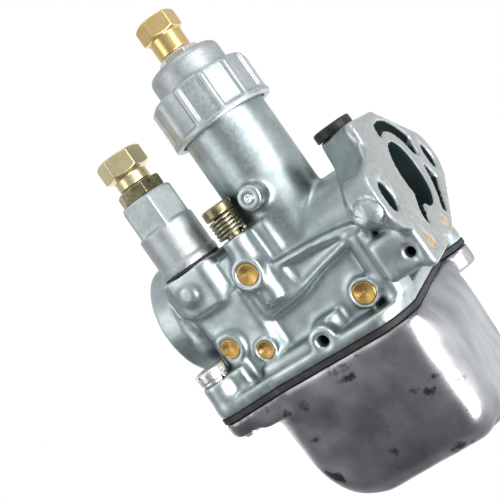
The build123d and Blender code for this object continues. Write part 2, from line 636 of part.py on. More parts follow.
def bowl_float():
    """Twin-lobed float with its knuckles and the tab under the valve needle."""
    lobes = post(-9.0, 9.0, -13.0, -5.8, -45.5, -34.0, 3.0)
    lobes += post(-9.0, 9.0, 5.8, 18.0, -45.5, -34.0, 3.0)
    arms = block(PIN_X, -8.0, -4.9, 13.9, -28.3, -26.7)
    arms -= block(-8.6, 5.0, -30, 30, -40, -20)
    for y0, y1 in ((-4.9, -2.4), (11.4, 13.9)):
        arms += cyl_y(2.0, y0, y1, PIN_X, PIN_Z)
        arms += front_outline(
            ((-10.2, -26.7), (-8.6, -26.7), (-6.0, -34.0), (-8.4, -36.0), (-10.2, -29.0)), y1, y0
        )
    lobes += block(-8.8, -6.2, -9.0, -3.0, -36.5, -34.5)
    floaty = lobes + arms
    return floaty - cyl_y(PIN_R + 0.08, -9, 18, PIN_X, PIN_Z)


# ---- assembly ----------------------------------------------------------------------------------
def throttle_end():
    """The barrel's pieces, from the slide up to the cable adjuster."""
    return {
        "ring_nut": ring_nut(),
        "cap_dome": cap_dome(),
        "cap_gasket": cap_gasket(),
        "throttle_cable_adjuster": cable_adjuster(0, 0, 46.0, 52.6, 56.4, 61.8, 9.0, 28.0),
        "throttle_adjuster_locknut": lock_nut(0, 0, CAP_TOP_Z + 0.05, 52.2, 9.2, 14.0),
        "throttle_slide": throttle_slide(),
        "throttle_spring": throttle_spring(),
        "spring_seat": spring_seat(),
        "jet_needle": jet_needle(),
        "needle_clip": needle_clip(),
        "slide_guide_pin": slide_guide_pin(),
    }


def starter_end():
    x = STARTER_X
    y = STARTER_Y
    return {
        "starter_housing": starter_housing(),
        "starter_washer": starter_washer(),
        "starter_cable_adjuster": cable_adjuster(x, y, STARTER_STEM_Z, 33.5, 35.8, 41.5, 10.2, 26.0),
        "starter_adjuster_locknut": lock_nut(x, y, STARTER_TOP_Z + 0.05, 33.1, 10.2, 10.0),
        "starter_plunger": starter_plunger(),
        "starter_plunger_seal": starter_plunger_seal(),
        "starter_spring": starter_spring(),
    }


def screws_and_plugs():
    pieces = {
        "idle_air_screw": idle_air_screw(),
        "idle_air_spring": spring(3.15, 0.42, IDLE_SEAT_Z, IDLE_HEAD_Z, 5, IDLE_X, IDLE_Y),
        "mixture_screw": mixture_screw(),
        "mixture_screw_cap": mixture_screw_cap(),
        "flange_plugs": flange_plugs(),
        "bowl_screws": bowl_screw(*LUGS[0]) + bowl_screw(*LUGS[1]),
        "bowl_screw_washers": screw_washer(*LUGS[0]) + screw_washer(*LUGS[1]),
        "fuel_inlet_nipple": fuel_inlet_nipple(),
    }
    for name, (x, z, face, plug_r, _) in CHANNEL_PLUGS.items():
        pieces[name] = channel_plug(x, z, face, plug_r)
    return pieces


def bowl_end():
    return {
        "bowl_gasket": bowl_gasket(),
        "float_bowl": float_bowl(),
        "needle_jet": needle_jet(),
        "main_jet": main_jet(),
        "idle_jet": small_jet(11.0, 0.0, 6.0),
        "starter_jet": small_jet(-8.5, 0.0, 1.2),
        "needle_seat": needle_seat(),
        "float_needle": float_needle(),
        "float_pin": float_pin(),
        "bowl_float": bowl_float(),
    }


def main():
    os.makedirs("parts", exist_ok=True)
    nodes = {"carb_body": carb_body()}
    nodes.update(throttle_end())
    nodes.update(starter_end())
    nodes.update(screws_and_plugs())
    nodes.update(bowl_end())
    for name, shape in nodes.items():
        export_step(FLANGE_SHIFT * shape, f"parts/{name}.step")


main()
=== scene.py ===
import json
import math

import bpy
import numpy as np
from mathutils import Matrix, Vector, noise
from mathutils.bvhtree import BVHTree


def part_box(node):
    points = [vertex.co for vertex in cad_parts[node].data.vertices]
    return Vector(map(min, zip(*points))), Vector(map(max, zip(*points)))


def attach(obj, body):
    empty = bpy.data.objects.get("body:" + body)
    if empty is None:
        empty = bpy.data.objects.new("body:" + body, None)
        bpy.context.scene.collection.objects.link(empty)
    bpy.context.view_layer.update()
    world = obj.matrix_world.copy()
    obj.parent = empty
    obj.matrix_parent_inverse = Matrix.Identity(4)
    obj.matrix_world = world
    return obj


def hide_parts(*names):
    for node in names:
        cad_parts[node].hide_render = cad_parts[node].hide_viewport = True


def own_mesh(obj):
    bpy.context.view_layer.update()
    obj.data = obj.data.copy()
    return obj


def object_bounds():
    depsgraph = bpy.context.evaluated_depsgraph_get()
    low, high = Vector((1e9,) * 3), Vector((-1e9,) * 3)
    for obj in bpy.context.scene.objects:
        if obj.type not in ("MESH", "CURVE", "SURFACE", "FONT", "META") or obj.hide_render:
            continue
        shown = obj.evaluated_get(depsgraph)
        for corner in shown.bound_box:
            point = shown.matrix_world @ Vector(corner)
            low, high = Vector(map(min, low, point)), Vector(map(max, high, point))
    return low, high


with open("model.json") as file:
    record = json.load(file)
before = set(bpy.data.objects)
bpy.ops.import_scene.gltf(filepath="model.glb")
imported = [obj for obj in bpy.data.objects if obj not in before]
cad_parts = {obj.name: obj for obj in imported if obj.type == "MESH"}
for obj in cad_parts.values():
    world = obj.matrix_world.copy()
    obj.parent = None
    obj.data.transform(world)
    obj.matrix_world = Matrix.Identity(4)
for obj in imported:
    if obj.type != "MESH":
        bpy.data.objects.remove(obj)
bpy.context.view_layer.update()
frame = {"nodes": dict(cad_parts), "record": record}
nodes = frame["nodes"]
record = frame["record"]
behaviour = record["behaviour"]
BODY = {n: b for b, names in behaviour["bodies"].items() for n in names}
SLOT = {part["node"]: part["material_slot"] for part in record["subparts"]}
SLOT["slide_guide_pin"] = "zinc_plated_steel"
MM = 1000.0


# ---- mesh helpers, in millimetres ---------------------------------------------------------------
NORMALS_EVERY = 3     # steps of relaxing that share one set of normals
RAY_SEED = 7
RAY_LEAN = 1.05       # pull of the rays towards the normal
RAY_START = 0.05      # height above the surface at which they start


def points(mesh):
    co = np.empty(len(mesh.vertices) * 3)
    mesh.vertices.foreach_get("co", co)
    return co.reshape(-1, 3)


def set_points(mesh, co):
    mesh.vertices.foreach_set("co", co.ravel())
    mesh.update()


def normals(mesh):
    out = np.empty(len(mesh.vertices) * 3)
    mesh.vertex_normals.foreach_get("vector", out)
    return out.reshape(-1, 3)


def edge_ends(mesh):
    """Both ends of every edge, and how many edges meet at each point."""
    edges = np.empty(len(mesh.edges) * 2, np.int32)
    mesh.edges.foreach_get("vertices", edges)
    a, b = edges.reshape(-1, 2).T
    return a, b, np.maximum(np.bincount(edges, minlength=len(mesh.vertices)), 1)


def neighbour_mean(values, a, b, meeting):
    """Mean over each point's neighbours, for one value per point."""
    total = len(values)
    return (np.bincount(a, values[b], total) + np.bincount(b, values[a], total)) / meeting


def pull_to_neighbours(co, ends):
    return np.stack([neighbour_mean(co[:, k], *ends) for k in range(3)], 1) - co


def applied(piece):
    """Turns the piece's modifiers into its own mesh."""
    graph = bpy.context.evaluated_depsgraph_get()
    mesh = bpy.data.meshes.new_from_object(piece.evaluated_get(graph))
    piece.modifiers.clear()
    piece.data = mesh


def copied(node, ending):
    piece = bpy.data.objects.new(node + ending, nodes[node].data.copy())
    bpy.context.scene.collection.objects.link(piece)
    return piece


def remeshed(node, voxel):
    """Copy of a CAD node as an even mesh, in millimetres."""
    piece = copied(node, "_cast")
    piece.data.transform(Matrix.Scale(MM, 4))
    grid = piece.modifiers.new("grid", "REMESH")
    grid.mode = "VOXEL"
    grid.voxel_size = voxel
    applied(piece)
    return piece


def box_mm(node):
    low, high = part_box(node)
    return np.array(low) * MM, np.array(high) * MM


def relax(mesh, steps, concave, convex, hold=1.0):
    """Rounds the mesh: concave corners fill at one rate and convex edges wear at another."""
    co = points(mesh)
    ends = edge_ends(mesh)
    for step in range(steps):
        pull = pull_to_neighbours(co, ends)
        if step % NORMALS_EVERY == 0:
            set_points(mesh, co)
            normal = normals(mesh)
        lift = (pull * normal).sum(1)
        share = np.where(lift > 0, concave, convex) * hold
        co = co + pull * share[:, None]
    set_points(mesh, co)


def waviness(mesh, amount, size):
    """Slight unevenness of a cast skin."""
    co = points(mesh)
    lift = np.array([noise.noise(Vector(p) / size) for p in co])
    set_points(mesh, co + normals(mesh) * (lift * amount)[:, None])


def thin_out(piece, most):
    """Brings the piece down to at most so many triangles."""
    triangles = sum(len(p.vertices) - 2 for p in piece.data.polygons)
    if triangles > most:
        less = piece.modifiers.new("less", "DECIMATE")
        less.ratio = most / triangles
        applied(piece)


def ray_tree(mesh, neighbours=()):
    """Tree for rays against the mesh and the CAD nodes beside it."""
    corners = [v.co for v in mesh.vertices]
    faces = [tuple(p.vertices) for p in mesh.polygons]
    for name in neighbours:
        first = len(corners)
        corners += [v.co * MM for v in nodes[name].data.vertices]
        faces += [tuple(first + i for i in p.vertices) for p in nodes[name].data.polygons]
    return BVHTree.FromPolygons(corners, faces)


def closed_in(mesh, reach, rays, neighbours=()):
    """How closed in each point is, as the share of its rays that hit something in reach."""
    tree = ray_tree(mesh, neighbours)
    rng = np.random.default_rng(RAY_SEED)
    spread = rng.normal(size=(rays, 3))
    spread /= np.linalg.norm(spread, axis=1)[:, None]
    normal = normals(mesh)
    start = points(mesh) + normal * RAY_START
    closed = np.zeros(len(start))
    for way in spread:
        aim = normal * RAY_LEAN + way
        aim /= np.linalg.norm(aim, axis=1)[:, None]
        for i in range(len(start)):
            if tree.ray_cast(Vector(start[i]), Vector(aim[i]), reach)[0] is not None:
                closed[i] += 1.0 / rays
    return closed


def worn_edges(mesh, gain):
    """How convex each point is, from the mesh's own curvature."""
    pull = pull_to_neighbours(points(mesh), edge_ends(mesh))
    return np.clip(-(pull * normals(mesh)).sum(1) * gain, 0, 1)


def store(mesh, name, values, blur):
    """Keeps one value per point for the materials, after some steps of blurring."""
    ends = edge_ends(mesh)
    for _ in range(blur):
        values = 0.5 * values + 0.5 * neighbour_mean(values, *ends)
    layer = mesh.attributes.new(name, "FLOAT", "POINT")
    layer.data.foreach_set("value", values.astype(np.float32))


# ---- shader helpers, in metres ------------------------------------------------------------------
COLOUR_A, COLOUR_B, COLOUR_OUT = 6, 7, 2    # sockets of a Mix node that mixes colours
MOST_NOISE = (0.3, 0.7)                     # range that holds most values of a noise


class Shader:
    """A principled material that is built up from procedural layers."""

    def __init__(self, name, metallic=1.0):
        self.material = bpy.data.materials.new(name)
        self.material.use_nodes = True
        self.tree = self.material.node_tree
        self.main = self.tree.nodes["Principled BSDF"]
        self.main.inputs["Metallic"].default_value = metallic
        self.coords = self.tree.nodes.new("ShaderNodeTexCoord")

    def link(self, a, b):
        self.tree.links.new(a, b)

    def noise(self, scale, detail=3.0, stretch=(1, 1, 1), rough=0.55):
        place = self.tree.nodes.new("ShaderNodeMapping")
        place.inputs["Scale"].default_value = stretch
        self.link(self.coords.outputs["Object"], place.inputs["Vector"])
        tex = self.tree.nodes.new("ShaderNodeTexNoise")
        tex.inputs["Scale"].default_value = scale
        tex.inputs["Detail"].default_value = detail
        tex.inputs["Roughness"].default_value = rough
        self.link(place.outputs["Vector"], tex.inputs["Vector"])
        return tex.outputs["Fac"]

    def ring_waves(self, scale, direction):
        """Turning marks around the middle of the piece."""
        move = self.tree.nodes.new("ShaderNodeMapping")
        move.inputs["Location"].default_value = (-0.5, -0.5, -0.5)
        self.link(self.coords.outputs["Generated"], move.inputs["Vector"])
        wave = self.tree.nodes.new("ShaderNodeTexWave")
        wave.wave_type = "RINGS"
        wave.rings_direction = direction
        wave.inputs["Scale"].default_value = scale
        wave.inputs["Distortion"].default_value = 0.6
        wave.inputs["Detail"].default_value = 2.0
        self.link(move.outputs["Vector"], wave.inputs["Vector"])
        return wave.outputs["Fac"]

    def attribute(self, name):
        read = self.tree.nodes.new("ShaderNodeAttribute")
        read.attribute_name = name
        return read.outputs["Fac"]

    def part_of(self, value, low, high, out_low=0.0, out_high=1.0):
        """Spreads low to high of a value over out_low to out_high."""
        spread = self.tree.nodes.new("ShaderNodeMapRange")
        for key, number in zip(
            ("From Min", "From Max", "To Min", "To Max"), (low, high, out_low, out_high)
        ):
            spread.inputs[key].default_value = number
        self.link(value, spread.inputs["Value"])
        return spread.outputs["Result"]

    def axis_of(self, source, axis):
        apart = self.tree.nodes.new("ShaderNodeSeparateXYZ")
        self.link(self.coords.outputs[source], apart.inputs["Vector"])
        return apart.outputs[axis]

    def math(self, kind, a, b):
        work = self.tree.nodes.new("ShaderNodeMath")
        work.operation = kind
        for socket, value in zip(work.inputs, (a, b)):
            if isinstance(value, (int, float)):
                socket.default_value = value
            else:
                self.link(value, socket)
        return work.outputs["Value"]

    def mix(self, factor, a, b):
        blend = self.tree.nodes.new("ShaderNodeMix")
        blend.data_type = "RGBA"
        self.link(factor, blend.inputs["Factor"])
        for socket, value in ((blend.inputs[COLOUR_A], a), (blend.inputs[COLOUR_B], b)):
            if isinstance(value, tuple):
                socket.default_value = (*value, 1.0)
            else:
                self.link(value, socket)
        return blend.outputs[COLOUR_OUT]

    def colour(self, socket):
        self.link(socket, self.main.inputs["Base Color"])

    def roughness(self, socket):
        self.link(socket, self.main.inputs["Roughness"])

    def bump(self, height, depth, strength=1.0):
        """Adds relief on top of what the material already has."""
        relief = self.tree.nodes.new("ShaderNodeBump")
        relief.inputs["Strength"].default_value = strength
        relief.inputs["Distance"].default_value = depth
        self.link(height, relief.inputs["Height"])
        before = self.main.inputs["Normal"].links
        if before:
            self.link(before[0].from_socket, relief.inputs["Normal"])
        self.link(relief.outputs["Normal"], self.main.inputs["Normal"])


# ---- materials ----------------------------------------------------------------------------------
# colour of painted shade in nooks, creases and gaps beside neighbouring parts
PAINTED_SHADE = (0.028, 0.048, 0.05)
# colour of painted shade in the flange's bore and pockets
PAINTED_PIT_SHADE = (0.028, 0.046, 0.046)
MILLED_DARK = (0.34, 0.355, 0.35)
MILLED_LIGHT = (0.50, 0.515, 0.51)
BELOW_FACE = (-0.00008, -0.00025)    # X just behind the flange face, from not sunk to sunk
AT_FACE = (-0.0002, -0.00005)        # X at the flange face
FACING_ENGINE = (0.85, 0.97)         # X of the normal on the flange face


def flange_and_nooks(s, tone, shine):
    """The casting's milled flange face, with painted shade in its bore, its pockets and its nooks.
    """
    painted_shade_mask = s.part_of(s.attribute("nook"), low=0.30, high=0.80)
    sunk = s.part_of(s.axis_of("Object", "X"), *BELOW_FACE)
    pit = s.math("MULTIPLY", s.part_of(s.attribute("pit"), low=0.03, high=0.25), sunk)
    face = s.math(
        "MULTIPLY",
        s.part_of(s.axis_of("Object", "X"), *AT_FACE),
        s.part_of(s.axis_of("Normal", "X"), *FACING_ENGINE),
    )
    marks = s.part_of(s.noise(scale=700, detail=5.0, rough=0.7), *MOST_NOISE)
    tone = s.mix(face, tone, s.mix(marks, MILLED_DARK, MILLED_LIGHT))
    # painted shade: darker colour where a point is closed in by the casting and the parts beside
    # it
    tone = s.mix(s.math("MULTIPLY", painted_shade_mask, 0.9), tone, PAINTED_SHADE)
    # painted shade: the bore and the pockets, whose walls face one another, are coloured near
    # black
    tone = s.mix(pit, tone, PAINTED_PIT_SHADE)
    for mask, duller in ((face, 0.3), (painted_shade_mask, 0.25), (pit, 0.4)):
        shine = s.math("ADD", shine, s.math("MULTIPLY", mask, duller))
    return tone, shine


def worn_metal(name, dark, light, rough, swing=0.1, patch=260, grain=2500, depth=2e-5,
               ripple=4.0, wear=0.0, turned=None, casting=False):
    """Metal with a patchy tone, fine grain and brighter worn edges."""
    s = Shader(name)
    cloud = s.part_of(s.noise(patch, detail=4.0), low=0.32, high=0.68)
    tone = s.mix(cloud, dark, light)
    shine = s.part_of(s.noise(grain * 0.4), *MOST_NOISE, rough - swing, rough + swing)
    if wear:
        edge = s.part_of(s.attribute("edge"), low=0.25, high=0.9, out_high=wear)
        tone = s.mix(edge, tone, tuple(min(1.0, c * 1.35 + 0.08) for c in light))
    if casting:
        tone, shine = flange_and_nooks(s, tone, shine)
    s.colour(tone)
    s.roughness(shine)
    s.bump(s.noise(grain, detail=4.0), depth)
    s.bump(s.noise(patch * 1.7, detail=2.0), depth * ripple, strength=0.5)
    if turned:
        s.bump(s.ring_waves(*turned), depth, strength=0.6)
    return s.material


def soft_material(name, dark, light, rough, depth=3e-5, grain=2200):
    """Rubber, plastic, gasket sheet or paper."""
    s = Shader(name, metallic=0.0)
    s.colour(s.mix(s.part_of(s.noise(scale=500, detail=4.0), *MOST_NOISE), dark, light))
    s.roughness(s.part_of(s.noise(scale=1500), *MOST_NOISE, rough - 0.08, rough + 0.08))
    s.bump(s.noise(grain, detail=4.0), depth)
    return s.material


BOWL_DARK = (0.30, 0.288, 0.318)
BOWL_LIGHT = (0.56, 0.543, 0.572)
BOWL_BLOT = (0.09, 0.085, 0.10)
BOWL_SMEAR = (0.36, 0.24, 0.235)
BOWL_REAR_DARK = (0.33, 0.34, 0.35)
BOWL_REAR_LIGHT = (0.47, 0.48, 0.49)


def bowl_metal():
    """Cast aluminium: stained and polished at the front, rough and pale on the engine side, with
    painted shade in its nooks.
    """
    s = Shader("cast_aluminium")
    cloud = s.part_of(s.noise(scale=75, detail=5.0), low=0.36, high=0.66)
    blots = s.part_of(s.noise(scale=115, detail=6.0, rough=0.6), low=0.61, high=0.67)
    smear = s.part_of(s.noise(scale=48, stretch=(1, 1, 0.5)), low=0.60, high=0.72)
    tone = s.mix(cloud, BOWL_DARK, BOWL_LIGHT)
    tone = s.mix(blots, tone, BOWL_BLOT)
    tone = s.mix(s.math("MULTIPLY", smear, 0.5), tone, BOWL_SMEAR)
    engine_side = s.part_of(s.axis_of("Normal", "X"), low=0.72, high=0.92)
    streaks = s.part_of(s.noise(scale=160, detail=5.0, stretch=(1, 1, 0.45)), low=0.35, high=0.65)
    tone = s.mix(engine_side, tone, s.mix(streaks, BOWL_REAR_DARK, BOWL_REAR_LIGHT))
    # painted shade: darker colour where a point is closed in by the bowl
    painted_shade_mask = s.part_of(s.attribute("nook"), low=0.5, high=0.92)
    s.colour(s.mix(painted_shade_mask, tone, PAINTED_SHADE))
    gloss = s.part_of(s.noise(scale=120, detail=4.0), *MOST_NOISE, 0.25, 0.37)
    s.roughness(s.math("ADD", gloss, s.math("MULTIPLY", engine_side, 0.25)))
    s.bump(s.noise(scale=2600, detail=4.0), depth=2e-5)
    rough_skin = s.noise(scale=700, detail=5.0, stretch=(1, 1, 0.5))
    s.bump(s.math("MULTIPLY", rough_skin, engine_side), depth=1.3e-4, strength=0.8)
    return s.material


METALS = {
    "cast_zinc": dict(
        dark=(0.33, 0.392, 0.402), light=(0.53, 0.585, 0.595), rough=0.38, swing=0.06,
        patch=130, ripple=2.0, wear=0.5, casting=True,
    ),
    "turned_zinc": dict(
        dark=(0.42, 0.455, 0.462), light=(0.54, 0.575, 0.58), rough=0.48,
        grain=4200, depth=4e-5, ripple=1.0, wear=0.5,
    ),
    "gold_brass": dict(
        dark=(0.76, 0.53, 0.22), light=(0.84, 0.61, 0.28), rough=0.28, swing=0.04,
        patch=120, grain=3000, depth=3e-6, ripple=1.0, wear=0.4,
    ),
    "pale_brass": dict(
        dark=(0.72, 0.62, 0.36), light=(0.80, 0.70, 0.44), rough=0.32, swing=0.04,
        patch=120, grain=3000, depth=3e-6, ripple=1.0, wear=0.4,
    ),
    "plug_brass": dict(
        dark=(0.47, 0.28, 0.08), light=(0.74, 0.49, 0.18), rough=0.33,
        patch=420, grain=2600, ripple=1.5, turned=(9.0, "Y"),
    ),
    "jet_brass": dict(dark=(0.60, 0.40, 0.14), light=(0.80, 0.58, 0.26), rough=0.28),
    "zinc_plated_steel": dict(
        dark=(0.76, 0.75, 0.71), light=(0.88, 0.87, 0.83), rough=0.3,
        grain=3000, depth=1e-5, ripple=1.0, wear=0.4,
    ),
    "yellow_zinc_steel": dict(
        dark=(0.20, 0.175, 0.09), light=(0.42, 0.38, 0.24), rough=0.3,
        grain=3000, depth=1e-5, wear=0.4,
    ),
    "spring_steel": dict(dark=(0.26, 0.235, 0.15), light=(0.48, 0.45, 0.33), rough=0.26),
}
SOFT = {
    "fibre_gasket": dict(
        dark=(0.008, 0.008, 0.009), light=(0.03, 0.03, 0.03), rough=0.6, depth=6e-5
    ),
    "rubber": dict(dark=(0.012, 0.012, 0.013), light=(0.03, 0.03, 0.032), rough=0.65),
    "black_plastic": dict(dark=(0.006, 0.006, 0.007), light=(0.016, 0.016, 0.018), rough=0.42),
    "float_plastic": dict(dark=(0.05, 0.05, 0.055), light=(0.12, 0.12, 0.13), rough=0.5),
}
MATERIAL = {name: worn_metal(name, **look) for name, look in METALS.items()}
MATERIAL["cast_aluminium"] = bowl_metal()
MATERIAL.update({name: soft_material(name, **look) for name, look in SOFT.items()})


def stand_for(piece, node):
    """Dresses the piece, which rides on its node's body and replaces the node."""
    piece.data.materials.clear()
    piece.data.materials.append(MATERIAL[SLOT[node]])
    for polygon in piece.data.polygons:
        polygon.use_smooth = True
    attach(piece, BODY[node])
    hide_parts(node)


def finish_cast(piece, node):
    """Keeps a piece in its CAD node's box, takes it back to metres and puts it in place."""
    set_points(piece.data, np.clip(points(piece.data), *box_mm(node)))
    piece.data.transform(Matrix.Scale(1 / MM, 4))
    stand_for(piece, node)


# ---- carburetor body, in millimetres ------------------------------------------------------------
PLUGS = ("channel_plug_a", "channel_plug_b", "channel_plug_c", "channel_plug_d")
# parts whose nearness adds painted shade to the body
BESIDE_BODY = ("ring_nut", "starter_housing", "idle_air_screw", "float_bowl", "bowl_screws")
BODY_VOXEL = 0.4
BODY_TRIANGLES = 190000
JOINT_Z = -22.0
FLAT = 0.9                 # least normal along X or Z on a machined face
FLANGE_FACE_DEPTH = 0.15   # how near the flange face and the joint face a point counts as on it
JOINT_FACE_DEPTH = 0.2
FLANGE_BACK_X = -3.6
FLANGE_HOLD = 0.35         # share of the rounding that the flange's edges get
PLUG_RIM = 0.9             # width and depth of the crisp rim around a plug
PLUG_RIM_DEPTH = 0.5
PLUG_HOLD = 0.12

BORE_R = 8.4               # all inside this radius, down to BORE_END_X, is the bore
BORE_END_X = -40
POCKET_FLOOR_X = -3.0
POCKET_FLOOR_SPREAD = 0.35
POCKET_FLOOR_FLAT = 0.6    # least normal along X on a pocket's floor
POCKET_WALL_X = (-2.9, -0.15)
POCKET_R = (8.6, 21)
POCKET_WIDTH = 11.0
POCKET_RAY_START = 0.1

PAD_X, PAD_Y, PAD_Z, PAD_R = -3.4, -30.93, -0.4, 2.6    # cast disc on the near ear
PAD_GROOVE_W, PAD_GROOVE_DEPTH = 0.6, 0.25
PAD_REACH = 3              # how far behind the disc the ear's skin may lie


def flange_pits(mesh):
    """Marks the bore and the pockets of the flange face, whose walls face one another."""
    tree = ray_tree(mesh)
    co = points(mesh)
    normal = normals(mesh)
    x = co[:, 0]
    from_axis = np.hypot(co[:, 1], co[:, 2])
    marked = ((from_axis < BORE_R) & (x > BORE_END_X)).astype(float)
    floors = np.abs(x - POCKET_FLOOR_X) < POCKET_FLOOR_SPREAD
    floors &= normal[:, 0] > POCKET_FLOOR_FLAT
    floors &= (from_axis > POCKET_R[0]) & (from_axis < POCKET_R[1])
    marked[floors] = 1.0
    walls = (x > POCKET_WALL_X[0]) & (x < POCKET_WALL_X[1]) & (marked == 0)
    for i in np.nonzero(walls)[0]:
        start = Vector(co[i]) + Vector(normal[i]) * POCKET_RAY_START
        if tree.ray_cast(start, Vector(normal[i]), POCKET_WIDTH)[0] is not None:
            marked[i] = 1.0
    return marked


def body_hold(co):
    """How much of the rounding each point of the body gets."""
    hold = np.ones(len(co))
    for name in PLUGS:
        low, high = box_mm(name)
        middle = (low + high) / 2
        radius = (high[0] - low[0]) / 2
        apart = np.hypot(co[:, 0] - middle[0], co[:, 2] - middle[2])
        near = (apart < radius + PLUG_RIM) & (co[:, 1] < high[1] + PLUG_RIM_DEPTH)
        hold[near] = PLUG_HOLD
    hold[co[:, 0] > FLANGE_BACK_X] = FLANGE_HOLD
    return hold


def press_pad(co):
    """Presses the cast disc and the groove around it into the near ear."""
    from_pad = np.hypot(co[:, 0] - PAD_X, co[:, 2] - PAD_Z)
    on_ear = co[:, 1] < PAD_Y + PAD_REACH
    groove = on_ear & (from_pad >= PAD_R) & (from_pad < PAD_R + PAD_GROOVE_W)
    co[groove, 1] += PAD_GROOVE_DEPTH
    co[on_ear & (from_pad < PAD_R), 1] = PAD_Y


def make_body():
    piece = remeshed("carb_body", BODY_VOXEL)
    mesh = piece.data
    co = points(mesh)
    normal = normals(mesh)
    hold = body_hold(co)
    flange_face = (co[:, 0] > -FLANGE_FACE_DEPTH) & (normal[:, 0] > FLAT)
    joint_face = (np.abs(co[:, 2] - JOINT_Z) < JOINT_FACE_DEPTH) & (normal[:, 2] < -FLAT)

    def keep_faces_flat(co):
        co[flange_face, 0] = 0
        co[joint_face, 2] = JOINT_Z
        set_points(mesh, co)

    relax(mesh, steps=4, concave=0.5, convex=0.5)
    relax(mesh, steps=13, concave=0.8, convex=0.1, hold=hold)
    relax(mesh, steps=3, concave=0.5, convex=0.5)
    keep_faces_flat(points(mesh))
    waviness(mesh, amount=0.05, size=3.5)
    co = points(mesh)
    press_pad(co)
    keep_faces_flat(co)

    thin_out(piece, BODY_TRIANGLES)
    mesh = piece.data
    # how closed in each point is; the material paints shade from it
    nook = closed_in(mesh, reach=12.0, rays=12, neighbours=BESIDE_BODY)
    store(mesh, "nook", nook, blur=8)
    # marks the bore and pockets for their painted shade
    store(mesh, "pit", flange_pits(mesh), blur=2)
    store(mesh, "edge", worn_edges(mesh, gain=28.0), blur=1)
    finish_cast(piece, "carb_body")


# ---- float bowl, in millimetres -----------------------------------------------------------------
BOWL_VOXEL = 0.42
BOWL_TRIANGLES = 150000
BOWL_ROUND_R = 6.5         # radius of the long edges along the bottom
BOWL_MIDDLE_Y = (13, 18)   # strip in which the bottom's profile is read
BOWL_WALL_BAND = 2.5       # half height of the band in which the walls' profiles are read
BOWL_RIM_Z = -24.5         # above this the bowl keeps half of its sharpness
BOWL_RIM_HOLD = 0.5
SAMPLE = 0.5               # step along X of the profiles


def lowest_by(x, z, at):
    """Lowest z near each x of at, from scattered points."""
    order = np.argsort(x)
    x, z = x[order], z[order]
    found = []
    for value in at:
        near = np.abs(x - value) < SAMPLE
        found.append(z[near].min() if near.any() else np.nan)
    found = np.array(found)
    good = ~np.isnan(found)
    return np.interp(at, at[good], found[good])


def round_long_edges(co):
    """Moves the square lower edges of both long walls onto arcs."""
    radius = BOWL_ROUND_R
    at = np.arange(co[:, 0].min(), co[:, 0].max() + SAMPLE, SAMPLE)
    strip = (co[:, 1] > BOWL_MIDDLE_Y[0]) & (co[:, 1] < BOWL_MIDDLE_Y[1])
    floor = np.interp(co[:, 0], at, lowest_by(co[strip, 0], co[strip, 2], at))
    level = np.abs(co[:, 2] - floor - radius - 1) < BOWL_WALL_BAND
    front = lowest_by(co[level, 0], co[level, 1], at)
    rear = -lowest_by(co[level, 0], -co[level, 1], at)
    for sign, wall in ((1, front), (-1, rear)):
        side = np.interp(co[:, 0], at, wall)
        out = (side + sign * radius - co[:, 1]) * sign
        down = floor + radius - co[:, 2]
        inside = (out > 0) & (down > 0)
        square = np.maximum(out, down)
        length = np.maximum(np.hypot(out, down), 1e-6)
        scale = np.where(inside, square / length, 1.0)
        co[:, 1] = np.where(inside, side + sign * radius - sign * out * scale, co[:, 1])
        co[:, 2] = np.where(inside, floor + radius - down * scale, co[:, 2])


def make_bowl():
    piece = remeshed("float_bowl", BOWL_VOXEL)
    mesh = piece.data
    co = points(mesh)
    round_long_edges(co)
    set_points(mesh, co)
    hold = np.where(co[:, 2] > BOWL_RIM_Z, BOWL_RIM_HOLD, 1.0)
    relax(mesh, steps=5, concave=0.5, convex=0.5, hold=hold)
    relax(mesh, steps=30, concave=0.8, convex=0.35, hold=hold)
    waviness(mesh, amount=0.12, size=6.0)
    thin_out(piece, BOWL_TRIANGLES)
    mesh = piece.data
    # how closed in each point is; the bowl's material paints shade from it
    store(mesh, "nook", closed_in(mesh, reach=9.0, rays=8), blur=3)
    finish_cast(piece, "float_bowl")


# ---- smaller pieces, with their sharp CAD edges softened ----------------------------------------
SMALL_TRIANGLES = 60000
SOFTENED = {    # node: voxel in millimetres, steps of relaxing
    "ring_nut": (0.26, 7),
    "cap_dome": (0.24, 6),
    "starter_housing": (0.22, 6),
    "throttle_cable_adjuster": (0.12, 6),
    "starter_cable_adjuster": (0.12, 6),
    "throttle_adjuster_locknut": (0.12, 4),
    "starter_adjuster_locknut": (0.12, 4),
    "channel_plug_a": (0.08, 5),
    "channel_plug_b": (0.08, 5),
    "channel_plug_c": (0.08, 5),
    "channel_plug_d": (0.08, 5),
    "slide_guide_pin": (0.08, 4),
    "idle_air_screw": (0.12, 4),
    "bowl_screws": (0.14, 4),
    "bowl_screw_washers": (0.1, 3),
    "mixture_screw_cap": (0.14, 4),
}


def make_softened(node, voxel, steps):
    piece = remeshed(node, voxel)
    relax(piece.data, steps, concave=0.5, convex=0.5)
    thin_out(piece, SMALL_TRIANGLES)
    store(piece.data, "edge", worn_edges(piece.data, gain=10 / voxel), blur=1)
    finish_cast(piece, node)


def make_spring(node):
    piece = copied(node, "_coil")
    stand_for(piece, node)
    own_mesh(piece)


make_body()
make_bowl()
for node, (voxel, steps) in SOFTENED.items():
    make_softened(node, voxel, steps)
make_spring("throttle_spring")
make_spring("starter_spring")

for node, thing in nodes.items():
    if not thing.hide_render:
        thing.data.materials.clear()
        thing.data.materials.append(MATERIAL[SLOT[node]])


# ---- floor and world ----------------------------------------------------------------------------
FLOOR_SIZE = 0.9
FLOOR_SETBACK = 0.035      # from the front of the object to the floor's front edge
FLOOR_GAP = 0.0004
FLOOR_GLOW = 0.5
FRONT = Vector((-0.33, -0.72, -0.61))
WORLD_TONES = (            # along FRONT, from behind the object to in front of it
    (0.50, (0.74, 0.75, 0.76, 1.0)),
    (0.80, (0.36, 0.38, 0.385, 1.0)),
    (0.97, (0.17, 0.18, 0.19, 1.0)),
)
WHITE = (1.0, 1.0, 1.0, 1.0)


